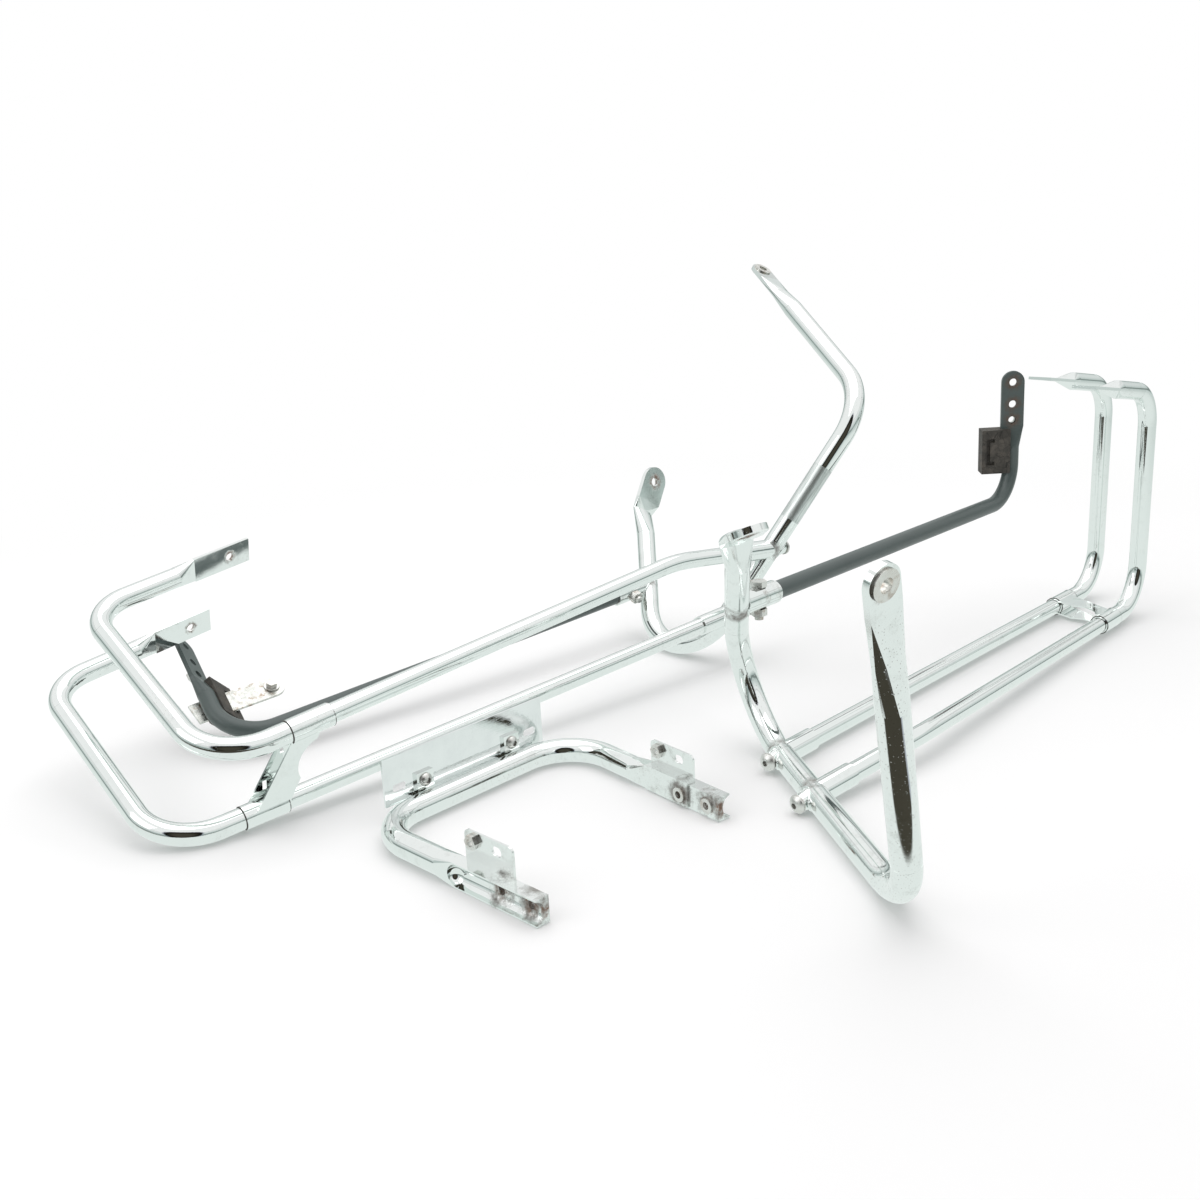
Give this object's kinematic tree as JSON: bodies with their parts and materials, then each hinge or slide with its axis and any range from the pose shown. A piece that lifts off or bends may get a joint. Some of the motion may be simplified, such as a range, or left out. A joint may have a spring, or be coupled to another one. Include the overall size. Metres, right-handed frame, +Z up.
{
  "type": "pannier frame",
  "caption": "Dismantled tubular pannier frame for a motorbike: mirrored side frames with hoops, rails, end loops and stays, and a rear bow with a slotted plate.",
  "frame": {"origin": "centre of the part's footprint, on the floor it lies on", "axes": "+Z up, +X along the right frame's rails towards the end loops, +Y across, away from the right frame's hoop foot"},
  "size_m": [1.1198, 0.8206, 0.4159],
  "materials": {
    "chrome": "polished, worn, with rust at the holes and ends",
    "plate": "mirror polished",
    "stay": "satin black, worn brown at the ends",
    "rubber": "matt, aged",
    "zinc": "zinc plated, dull"
  },
  "bodies": {
    "root": {"right_hoop": "chrome", "right_mounting_tab": "chrome", "right_long_rail": "chrome", "right_short_rail": "chrome", "right_ferrules": "chrome", "right_tie_plate": "chrome", "right_long_loop": "chrome", "right_short_loop": "chrome", "right_bosses": "chrome", "left_hoop": "chrome", "left_mounting_tab": "chrome", "left_long_rail": "chrome", "left_short_rail": "chrome", "left_ferrules": "chrome", "left_tie_plate": "chrome", "left_long_loop": "chrome", "left_short_loop": "chrome", "left_bosses": "chrome", "right_eye_bush": "zinc", "right_socket_bolt": "zinc", "right_socket_nut": "zinc", "right_rail_washers": "zinc", "right_rail_bolts": "zinc", "right_stay_nut": "zinc", "left_eye_bush": "zinc", "left_socket_bolt": "zinc", "left_socket_nut": "zinc", "left_rail_washers": "zinc", "left_rail_bolts": "zinc", "left_stay_nut": "zinc", "right_stay_socket": "chrome", "left_stay_socket": "chrome", "right_stay": "stay", "left_stay": "stay", "right_bumper": "rubber", "left_bumper": "rubber", "left_strap": "zinc", "left_strap_bolt": "zinc", "left_strap_nut": "zinc", "channel_nuts": "zinc", "tab_nuts": "zinc", "plate_bolts": "zinc", "plate_nuts": "zinc", "rear_bow": "chrome", "bow_tabs": "chrome", "plate_lugs": "chrome", "plate": "plate"}
  },
  "joints": []
}
